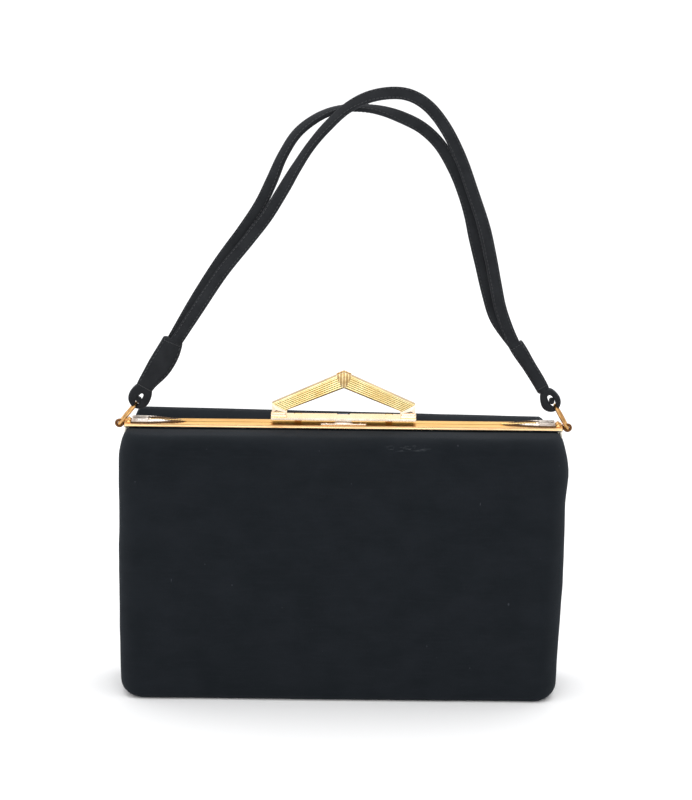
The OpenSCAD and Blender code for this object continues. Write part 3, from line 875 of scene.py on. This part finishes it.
def faceted(name, outline, ridge, depth, rise, material):
    """A plate on both faces of the clasp, whose outline rises to a ridge of its own points."""
    pieces = []
    for face in (FRONT, REAR):
        count = len(outline)
        points = [(x, face * depth, PLATE_TOP + h) for x, h in outline]
        points += [(x, face * (depth + up), PLATE_TOP + h) for x, h, up in ridge]
        faces = []
        for i in range(count):
            j = (i + 1) % count
            near = nearest(ridge, outline[i])
            far = nearest(ridge, outline[j])
            if near == far:
                faces.append((i, j, count + near))
            else:
                faces.append((i, j, count + far, count + near))
        points += [(x, face * (depth - rise), PLATE_TOP + h) for x, h in outline]
        base = count + len(ridge)
        faces += [(i, base + i, base + (i + 1) % count, (i + 1) % count) for i in range(count)]
        faces.append(tuple(range(base, base + count)))
        piece = face_outward(make_object(name + str(face), points, faces, material))
        pieces.append(mark_sharp(piece, 10))
    return join(name, pieces)


def nearest(ridge, point):
    return min(range(len(ridge)), key=lambda k: (ridge[k][0] - point[0]) ** 2 + (ridge[k][1] - point[1]) ** 2)


def build_cap():
    """The faceted cap on the chevron's point, with a ridge down its middle."""
    outline = [(-4.3, 24.5), (0, 26.3), (4.3, 24.5), (3.2, 21.2), (1.2, 17.2), (-1.2, 17.2), (-3.2, 21.2)]
    ridge = [(0, 24.3, 1.7), (0, 17.9, 1.3)]
    cap = faceted("apex_cap_facets", outline, ridge, BAR_HIGH[1] - 0.1, 0.8, CAP_GOLD)
    return finish_piece(cap, "clasp", ("apex_cap",))


def build_post(x_side):
    """A post with a faceted face and a stepped collar."""
    name = SIDE_NAMES[x_side] + "_post"
    s = x_side
    outline = [(s * (INNER_X - 0.8), 2.2), (s * CORNER_X, 2.2), (s * CORNER_X, CORNER_H), (s * INNER_X, INNER_H)]
    ridge = [(s * (CORNER_X - 2.4), 4.0, 0.55)]
    core = faceted(name + "_core", outline, ridge, BAR_HIGH[1] - 0.35, BAR_HIGH[1] - 0.5, CLASP_GOLD)
    outer, inner = s * PLATE_HIGH[0], s * (PLATE_HIGH[0] - 8.8)
    steps = []
    for i, (grow, low, high) in enumerate(((0.0, 0.0, 1.25), (-0.45, 1.2, 2.4))):
        xs = sorted((outer + s * grow, inner - s * grow))
        half = BAR_HIGH[1] + 0.8 + grow
        lowest, highest = (xs[0], -half, PLATE_TOP + low), (xs[1], half, PLATE_TOP + high)
        steps.append(block(f"{name}_collar{i}", lowest, highest, CLASP_GOLD))
    post = join(name + "_faceted", [core] + steps)
    return finish_piece(post, "clasp", (name,))


def build_spring():
    """The torsion spring as one wound wire."""
    low, high = box_mm("clasp_spring")
    centre = (low + high) / 2
    wire = 0.22
    radius = (high[1] - low[1]) / 2 - wire
    turns, steps, sides = 12, 24, 8
    sections = []
    for i in range(turns * steps + 1):
        a = 2 * math.pi * i / steps
        x = low[0] + wire + (high[0] - low[0] - 2 * wire) * i / (turns * steps)
        ring = []
        for b in np.arange(sides) * 2 * math.pi / sides:
            r = radius + wire * math.cos(b)
            ring.append((x + wire * math.sin(b), centre[1] + r * math.cos(a), centre[2] + r * math.sin(a)))
        sections.append(ring)
    spring = tube_object("clasp_spring_wire", sections, STEEL)
    return finish_piece(spring, "rear_jaw", ("clasp_spring",))


# ---- end plates ----

def relief_panel(name, s, low, high):
    """A ribbed panel that rises to a rolled rear edge, as a height field."""
    grid = []
    for y in np.linspace(low[1], high[1], 81):
        back = (y - low[1]) / (high[1] - low[1])
        rolled = math.exp(-(((back - 0.93) / 0.07) ** 2)) + 0.5 * math.exp(-(((back - 0.05) / 0.05) ** 2))
        rib = 0.5 + 0.5 * math.cos(2 * math.pi * 5 * back)
        row = []
        for x in np.linspace(low[0], high[0], 41):
            inset = min(x - low[0], high[0] - x, y - low[1], high[1] - y)
            fall = float(step(np.array(inset), -0.05, 0.5))
            height = 0.2 + 0.3 * back + 0.3 * rib + 0.3 * rolled
            row.append((s * x, y, low[2] + (high[2] - low[2]) * height * fall))
        grid.append(row)
    return sheet_object(name, np.array(grid), ENGRAVED)


def relief_leaf(name, s, root_x, tip_x, mid_y, z0, z1):
    """A leaf of two curled lobes with a deep groove between them and veins across, as a height field."""
    grid = []
    for f in np.linspace(0, 1, 90):
        x = root_x + (tip_x - root_x) * f
        spread = 4.9 * (1 - f) ** 0.62 * (1 + 0.1 * math.sin(8 * f)) + 0.25
        row = []
        for g in np.linspace(-1, 1, 61):
            curl = 0.66 - 0.1 * math.sin(6 * f)
            lobe = math.exp(-(((abs(g) - curl) / 0.2) ** 2)) * min(1, 1.35 * (1 - f))
            groove = math.exp(-((g * spread / 1.1) ** 2))
            vein = 0.06 * math.cos(2 * math.pi * (f * 14 - abs(g) * 1.4))
            back = 0.25 * (g + 1) / 2 * (1 - f)
            height = max(0.34 + 0.5 * lobe + vein + back - 0.3 * groove, 0.03)
            edge = math.sqrt(max(1 - abs(g) ** 8, 0))
            row.append((s * x, mid_y + g * spread, z0 + (z1 - z0) * height * edge))
        grid.append(row)
    return sheet_object(name, np.array(grid), ENGRAVED)


def relief_spear(name, s, root_x, tip_x, mid_y, z0, height):
    """The long tapering bar down the middle of the leaf."""
    sections = []
    for f in np.linspace(0, 1, 40):
        x = root_x + (tip_x - root_x) * f
        half = (0.95 - 0.3 * math.cos(7 * f)) * (1 - 0.72 * f) + 0.1
        sections.append([
            (s * x, mid_y + half * math.cos(a), z0 + height * (1 - 0.45 * f) * math.sin(a))
            for a in np.linspace(0, math.pi, 13)
        ])
    return tube_object(name, sections, SPEAR_GOLD)


def dome(name, centre, radius, height, material):
    """A low round bead."""
    sections = []
    for t in np.linspace(0, math.pi / 2 * 0.98, 10):
        sections.append([
            (centre[0] + radius * math.cos(t) * math.cos(a), centre[1] + radius * math.cos(t) * math.sin(a),
             centre[2] + height * math.sin(t))
            for a in np.arange(28) * 2 * math.pi / 28
        ])
    return tube_object(name, sections, material)


def build_end_plate(x_side):
    """The relief plate on the frame's end: ribbed panel, bead, leaf and a small wing by the swivel."""
    node = SIDE_NAMES[x_side] + "_end_plate"
    low, high = box_mm(node)
    outer = max(abs(low[0]), abs(high[0]))
    tip = min(abs(low[0]), abs(high[0]))
    s = x_side
    z0, z1 = TOP_Z - 0.02, high[2]
    mid_y = (low[1] + high[1]) / 2
    panel = relief_panel(node + "_panel", s, (outer - 9.6, low[1], z0), (outer, high[1], z1))
    leaf = relief_leaf(node + "_leaf", s, outer - 9.4, tip, mid_y, z0, z1)
    bead = dome(node + "_bead", (s * (outer - 10.4), mid_y, z0), 1.5, (z1 - z0) * 0.9, CLASP_GOLD)
    spear = relief_spear(node + "_spear", s, outer - 11, tip - 0.6, mid_y, z0, (z1 - z0) * 0.8)
    wings = []
    for k, (y_low, y_high) in enumerate(((low[1] + 0.6, mid_y - 1.6), (mid_y + 1.6, high[1] - 0.6))):
        sections = []
        for f in np.linspace(0, 1, 12):
            x = outer + 0.1 + (FRAME_END - outer - 0.4) * f
            rise = 0.35 + 1.35 * math.sin(math.pi * min(f * 1.15, 1)) ** 1.3 * (1 - 0.35 * f)
            sections.append([
                (s * x, y_low, z0), (s * x, y_high, z0),
                (s * x, y_high - 0.5, z0 + rise), (s * x, y_low + 0.5, z0 + rise),
            ])
        wings.append(crisp(tube_object(f"{node}_wing{k}", sections, RING_GOLD), 0.15))
    plate = join(node + "_relief", [thicken(panel, 0.2), thicken(leaf, 0.2), bead, spear] + wings)
    return finish_piece(plate, "rear_jaw", (node,))


# ---- swivels, rings and strap ----

EYE_MEAN, EYE_TUBE = 1.8, 0.8
WIRE_R = 0.85
RING_TWIST = {LEFT: 2.5, RIGHT: 0.0}


def build_swivel(x_side):
    """A turned pin with a collar and a round eye."""
    node = SIDE_NAMES[x_side] + "_swivel"
    low, high = box_mm(node)
    s = x_side
    outer = max(abs(low[0]), abs(high[0]))
    inner = min(abs(low[0]), abs(high[0]))
    y, z = (low[1] + high[1]) / 2, (low[2] + high[2]) / 2
    eye_x = outer - EYE_MEAN - EYE_TUBE
    eye = torus_object(node + "_eye_ring", (s * eye_x, y, z), (1, 0, 0), (0, 0, 1), EYE_MEAN, EYE_TUBE, EYE_GOLD)
    profile = [
        (inner, 0.9), (inner + 0.1, 1.7), (inner + 1.1, 1.75), (inner + 1.25, 1.45), (FRAME_END + 0.15, 1.45),
        (FRAME_END + 0.2, 2.0), (FRAME_END + 0.75, 2.0), (FRAME_END + 0.95, 1.3), (eye_x - EYE_MEAN + 0.1, 0.75),
    ]
    sections = [
        [(s * x, y + r * math.cos(a), z + r * math.sin(a)) for a in np.arange(36) * 2 * math.pi / 36]
        for x, r in profile
    ]
    pin = mark_sharp(tube_object(node + "_pin", sections, EYE_GOLD), 50)
    swivel = join(node + "_eye", [eye, pin])
    return finish_piece(swivel, node, (node,))


def build_ring(x_side):
    node = SIDE_NAMES[x_side] + "_ring"
    low, high = box_mm(node)
    half = (high - low) / 2
    radius = half[1] - WIRE_R
    lean = math.asin((half[0] - WIRE_R) / radius)
    up = (-x_side * math.sin(lean), 0, math.cos(lean))
    twist = math.radians(RING_TWIST[x_side])
    across = (-x_side * math.cos(lean) * math.sin(twist), math.cos(twist), -math.sin(lean) * math.sin(twist))
    ring = torus_object(node + "_wire", (low + high) / 2, across, up, radius, WIRE_R, RING_GOLD)
    return finish_piece(ring, node, (node,))


SWIVEL_Y = 3.2
BAND_HALF_W, BAND_HALF_T = 3.5, 1.5
# The strap's routes, close to those in the CAD source: x, z, offset along Y, turn about the band's own length.
OUTER_ROUTE = [
    (-96, 203, -1.7, 0), (-82, 225, -3, 20), (-69, 245, -3.4, 25), (-55, 263, -3.4, 15),
    (-44.5, 277, -3.6, 12), (-35.5, 292, -3.7, 25), (-28, 305, -3.8, 50), (-20, 317.5, -4, 60),
    (-11, 328.5, -4, 55), (0, 339, -4, 50), (12, 345.5, -3.9, 35), (25, 348, -3.8, 20),
    (36, 346.5, -3.6, 15), (46.2, 340, -3.4, 12), (55.6, 328, -3.3, 5), (64, 311.5, -3.2, 5),
    (71, 292.5, -3, 5), (78, 272, -2.8, 10), (82, 255, -2.6, 10), (85, 240, -2.4, 10),
    (88, 226, -2.2, 5), (92.5, 213, -1.9, 0), (97, 203, -1.7, 0),
]
INNER_ROUTE = [
    (-98, 203, 1.7, 0), (-84, 228, 3, 20), (-71, 249, 3.4, 25), (-57.5, 268, 3.4, 15),
    (-48, 283, 3.6, 12), (-41.5, 297, 3.7, 30), (-36, 310, 3.8, 50), (-28, 323, 3.9, 55),
    (-17, 332, 4.1, 65), (-5, 337, 4.2, 78), (8, 338, 4.2, 78), (20, 336.5, 4.1, 60),
    (32, 332.5, 3.9, 30), (43.2, 326.6, 3.6, 8), (53, 317, 3.4, 5), (61.4, 302.5, 3.2, 5),
    (67, 288.5, 3, 5), (70.4, 277, 2.9, 8), (73, 265, 2.8, 10), (77, 249, 2.6, 10),
    (81, 233, 2.4, 10), (86, 218, 2.2, 5), (96.4, 203.6, 1.7, 0),
]


def capsules(name, places, radius, material):
    """Short stitches, one for each place: centre, half length as a vector, and outward direction."""
    sides = 6
    points, faces = [], []
    for centre, half, out in places:
        axis = half / np.linalg.norm(half)
        side = np.cross(axis, out)
        start = len(points)
        for along, size in ((-1.0, 0.35), (-0.7, 1.0), (0.7, 1.0), (1.0, 0.35)):
            for a in np.arange(sides) * 2 * math.pi / sides:
                points.append(centre + half * along + (out * math.sin(a) + side * math.cos(a)) * radius * size)
        faces += grid_faces(4, sides, closed=True, offset=start)
        faces.append(tuple(start + k for k in reversed(range(sides))))
        faces.append(tuple(start + 3 * sides + k for k in range(sides)))
    return face_outward(make_object(name, points, faces, material))


def band_frames(route):
    """Centres and the directions across the width and the thickness, along a band."""
    points = catmull(route, 10)
    ahead = np.gradient(points, axis=0)
    size = np.hypot(ahead[:, 0], ahead[:, 1])
    turn = np.radians(points[:, 3])
    across = np.column_stack([-ahead[:, 1] / size, np.zeros(len(points)), ahead[:, 0] / size])
    depth = np.array([0, 1, 0])
    wide = across * np.cos(turn)[:, None] + depth * np.sin(turn)[:, None]
    thin = depth * np.cos(turn)[:, None] - across * np.sin(turn)[:, None]
    centres = np.column_stack([points[:, 0], SWIVEL_Y + points[:, 2], points[:, 1]])
    return centres, wide, thin


def build_band(node, route, seed):
    """A flat padded band with rolled edges and a row of stitches along both edges on both faces."""
    centres, wide, thin = band_frames(route)
    profile = []
    for a in np.arange(32) * 2 * math.pi / 32:
        c, n = math.cos(a), math.sin(a)
        w = math.copysign(abs(c) ** 0.45, c)
        groove = 0.16 * math.exp(-(((abs(w) - 0.72) / 0.1) ** 2))
        profile.append((w, math.copysign(abs(n) ** 0.55, n) * (1 - groove)))
    sections = []
    for i, centre in enumerate(centres):
        puff = 1 + 0.05 * noise.noise(Vector((i * 0.11, seed, 0)))
        sections.append([
            centre + wide[i] * BAND_HALF_W * w + thin[i] * BAND_HALF_T * t * puff for w, t in profile
        ])
    strip = tube_object(node + "_strip", sections, STRAP)
    lengths = np.concatenate([[0], np.cumsum(np.linalg.norm(np.diff(centres, axis=0), axis=1))])
    pitch, stitch = 2.3, 0.75
    places = []
    for at in np.arange(4, lengths[-1] - 4, pitch):
        centre = np.array([np.interp(at, lengths, centres[:, k]) for k in range(3)])
        i = int(np.searchsorted(lengths, at))
        ahead = (centres[i] - centres[i - 1]) / np.linalg.norm(centres[i] - centres[i - 1])
        for edge in (-1, 1):
            for face in (-1, 1):
                place = centre + wide[i] * BAND_HALF_W * 0.72 * edge + thin[i] * BAND_HALF_T * 0.86 * face
                places.append((place, ahead * stitch, thin[i] * face))
    thread = capsules(node + "_thread", places, 0.2, THREAD)
    band = join(node + "_sewn", [strip, thread])
    return finish_piece(band, "strap", (node,))


# Blades of the tabs: x, z and half width along the middle line, from the loop up to the bands.
BLADES = {
    LEFT: [(-115.0, 174, 4.7), (-111.8, 179.5, 5.3), (-105.6, 188, 6.9), (-100.6, 196.5, 6.9), (-97.2, 204.6, 5.8)],
    RIGHT: [(114.6, 175.8, 3.6), (110.9, 182.4, 3.8), (105.4, 191.2, 3.9), (100.4, 199, 4.4), (97.2, 204, 4.3)],
}
# Loops of the tabs: the outer circle's centre and radius, then the slot's centre, half length, half width and lean.
LOOPS = {
    LEFT: ((-116.8, 170.2), 6.3, (-116.9, 169.2), 4.1, 1.25, 31),
    RIGHT: ((118.2, 170.4), 5.8, (118.7, 170.9), 3.9, 1.55, -28),
}
TEAR_LEAN, TEAR = 28, 0.42
CORE_R = 1.45
TAB_HALF_T = 3.0


def loop_sections(x_side):
    """Sections round a loop of folded cloth, between its slot for the ring and its round outside."""
    (out_x, out_z), out_r, (slot_x, slot_z), slot_l, slot_w, lean = LOOPS[x_side]
    lean = math.radians(lean)
    along = np.array([math.sin(lean), math.cos(lean)])
    beside = np.array([math.cos(lean), -math.sin(lean)])
    offset = np.array([slot_x - out_x, slot_z - out_z])
    tear = np.array([-x_side * math.sin(math.radians(TEAR_LEAN)), math.cos(math.radians(TEAR_LEAN))])
    sections = []
    for a in np.arange(72) * 2 * math.pi / 72:
        ray = along * math.cos(a) + beside * math.sin(a)
        inner = (abs(math.cos(a) / slot_l) ** 2.6 + abs(math.sin(a) / slot_w) ** 2.6) ** (-1 / 2.6)
        reach = -offset @ ray + math.sqrt((offset @ ray) ** 2 - offset @ offset + out_r**2)
        reach *= 1 + TEAR * max(float(tear @ ray), 0) ** 3
        middle, half = (inner + reach) / 2, (reach - inner) / 2
        section = []
        for b in np.arange(24) * 2 * math.pi / 24:
            c, n = math.cos(b), math.sin(b)
            r = middle + half * math.copysign(abs(c) ** 0.55, c)
            y = TAB_HALF_T * math.copysign(abs(n) ** 0.45, n)
            section.append((slot_x + ray[0] * r, SWIVEL_Y + y, slot_z + ray[1] * r))
        sections.append(section)
    return sections


def loop_core(x_side, name):
    """The rolled padding inside the loop, just above the ring's wire."""
    slot_x, slot_z = LOOPS[x_side][2]
    lean = math.radians(LOOPS[x_side][5])
    lift = 0.35 - LOOPS[x_side][3] + 2 * WIRE_R + CORE_R + 0.25
    centre = (slot_x + lift * math.sin(lean), slot_z + lift * math.cos(lean))
    sections = [
        [
            (centre[0] + CORE_R * size * math.cos(a), SWIVEL_Y + y, centre[1] + CORE_R * size * math.sin(a))
            for a in np.arange(20) * 2 * math.pi / 20
        ]
        for y, size in ((-2.8, 0.3), (-2.7, 0.8), (-2.3, 1.0), (0, 1.04), (2.3, 1.0), (2.7, 0.8), (2.8, 0.3))
    ]
    return tube_object(name, sections, STRAP)


def blade_rounding(f):
    """How much of its width and thickness the blade keeps towards its two ends."""
    start, end = max((0.1 - f) / 0.1, 0), max((f - 0.955) / 0.045, 0)
    return math.sqrt(max(1 - start**2, 0.04)), 1 - 0.22 * end**2


def build_tab(x_side):
    """A folded cloth tab: a loop round the ring and a padded leaf, hemmed and sewn over the bands."""
    node = SIDE_NAMES[x_side] + "_tab"
    loop = make_closed_loop(node + "_loop", loop_sections(x_side), STRAP)
    line = catmull(BLADES[x_side], 14)
    ahead = np.gradient(line, axis=0)
    size = np.hypot(ahead[:, 0], ahead[:, 1])
    normals = np.column_stack([-ahead[:, 1] / size, np.zeros(len(line)), ahead[:, 0] / size])
    forward = np.column_stack([ahead[:, 0] / size, np.zeros(len(line)), ahead[:, 1] / size])
    count = len(line) - 1
    sections, places = [], []
    for i, (x, z, half_w) in enumerate(line):
        start, end = blade_rounding(i / count)
        puff = TAB_HALF_T * (1.02 - 0.1 * math.sin(math.pi * i / count))
        section = []
        for b in np.arange(44) * 2 * math.pi / 44:
            c, n = math.cos(b), math.sin(b)
            w = math.copysign(abs(c) ** 0.6, c)
            groove = 0.1 * math.exp(-(((abs(w) - 0.8) / 0.07) ** 2))
            t = math.copysign(abs(n) ** 0.5, n) * (1 - groove) * (1 - 0.25 * abs(w) ** 4)
            across = normals[i] * half_w * w * start * end
            section.append(np.array([x, SWIVEL_Y, z]) + across + np.array([0, puff * t * start * end, 0]))
        sections.append(section)
    leaf = tube_object(node + "_leaf", sections, STRAP)
    walked = 0.0
    for i in range(9, count - 2):
        walked += float(np.hypot(*(line[i, :2] - line[i - 1, :2])))
        if walked < 2.2:
            continue
        walked = 0.0
        x, z, half_w = line[i]
        puff = TAB_HALF_T * (1.02 - 0.1 * math.sin(math.pi * i / count))
        for edge in (-1, 1):
            for face in (-1, 1):
                place = np.array([x, SWIVEL_Y + face * puff * 0.83, z]) + normals[i] * half_w * 0.8 * edge
                places.append((place, forward[i] * 0.75, np.array([0, face, 0])))
    for at in (int(count * 0.16), int(count * 0.93)):
        x, z, half_w = line[at]
        for g in np.linspace(-0.72, 0.72, 8 if x_side == LEFT else 5):
            for face in (-1, 1):
                out = TAB_HALF_T * (0.99 - 0.04 * abs(g))
                place = np.array([x, SWIVEL_Y + face * out, z]) + normals[at] * half_w * g
                places.append((place, normals[at] * 0.55, np.array([0, face, 0])))
    thread = capsules(node + "_thread", places, 0.2, THREAD)
    tab = join(node + "_sewn", [leaf, loop, loop_core(x_side, node + "_core"), thread])
    return finish_piece(tab, "strap", (node,))


# ---- stage, light and camera ----

def stage_material():
    make = Nodes("stage_white", (0.94, 0.945, 0.95), 0.7)
    grain = make.noise("Object", (1, 1, 1), 6, detail=2)
    make.color(make.mix(grain, (0.93, 0.935, 0.945), (0.95, 0.95, 0.955)))
    return make.material


def build_stage():
    """A pale floor that curves up into a backdrop."""
    depth, rise, width, bend = 1500.0, 2600.0, 5000.0, 700.0
    profile = [(-2500.0, 0.0), (0.0, 0.0), (depth, 0.0)]
    for a in np.linspace(0, math.pi / 2, 16)[1:]:
        profile.append((depth + bend * math.sin(a), bend * (1 - math.cos(a))))
    profile.append((depth + bend, rise))
    grid = np.array([[(x, y, z - 0.05) for x in np.linspace(-width, width, 3)] for y, z in profile])
    floor = sheet_object("floor", grid, stage_material())


def area_light(name, location, target, size, power, color=(1, 1, 1)):
    light = bpy.data.lights.new(name, "AREA")
    light.shape = "RECTANGLE"
    light.size, light.size_y = size
    light.energy = power
    light.color = color
    obj = bpy.data.objects.new(name, light)
    obj.location = location
    obj.rotation_euler = (Vector(target) - Vector(location)).to_track_quat("-Z", "Y").to_euler()
    bpy.context.scene.collection.objects.link(obj)


def build_lights():
    """A white surround with soft boxes above, in front and behind."""
    world = bpy.data.worlds.new("studio")
    world.use_nodes = True
    world.node_tree.nodes["Background"].inputs["Color"].default_value = (1, 1, 1, 1)
    world.node_tree.nodes["Background"].inputs["Strength"].default_value = 1.02
    bpy.context.scene.world = world
    area_light("top_box", (0, 0.1, 1.5), (0, 0, 0.1), (1.8, 1.2), 9)
    area_light("front_box", (-0.15, -1.9, 1.0), (0, 0, 0.12), (1.8, 0.9), 10, (1, 0.99, 0.97))
    area_light("rear_box", (0.4, 1.3, 1.0), (0, 0, 0.1), (1.4, 0.8), 2, (0.97, 0.98, 1))


def build_camera():
    """A long lens a little above the bag, level to within a degree."""
    elevation, roll, distance = math.radians(14.58), math.radians(0.62), 1.957
    target = Vector((0.0013, 0, 0.1708))
    back = Vector((0, -math.cos(elevation), math.sin(elevation)))
    across = Vector((1, 0, 0))
    up = back.cross(across)
    camera_x = across * math.cos(roll) + up * math.sin(roll)
    camera_y = up * math.cos(roll) - across * math.sin(roll)
    data = bpy.data.cameras.new("camera")
    data.lens = 154.4
    data.sensor_width = 36
    camera = bpy.data.objects.new("camera", data)
    camera.rotation_mode = "QUATERNION"
    rows = [(camera_x[i], camera_y[i], back[i]) for i in range(3)]
    camera.rotation_quaternion = Matrix(rows).to_quaternion()
    camera.location = target + back * distance
    bpy.context.scene.collection.objects.link(camera)
    bpy.context.scene.camera = camera


# ---- the whole bag ----

build_camera()
for cover_side in (FRONT, REAR):
    build_cover(cover_side)
    build_lining(cover_side)
for bag_end in (LEFT, RIGHT):
    build_welt(bag_end)
    for cover_side in (FRONT, REAR):
        build_pleat(bag_end, cover_side)
    build_post(bag_end)
    build_end_plate(bag_end)
    build_swivel(bag_end)
    build_ring(bag_end)
build_pocket()
for board in ("bottom_board", "front_board_lower", "rear_board_lower", "front_board_upper", "rear_board_upper"):
    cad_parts[board].data.materials.clear()
    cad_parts[board].data.materials.append(CARD)
build_metal()
build_catch()
build_bar()
build_cap()
build_spring()
build_tab(LEFT)
build_tab(RIGHT)
build_band("outer_band", OUTER_ROUTE, 1.0)
build_band("inner_band", INNER_ROUTE, 5.0)
build_stage()
build_lights()
bpy.context.scene.view_settings.view_transform = "Standard"
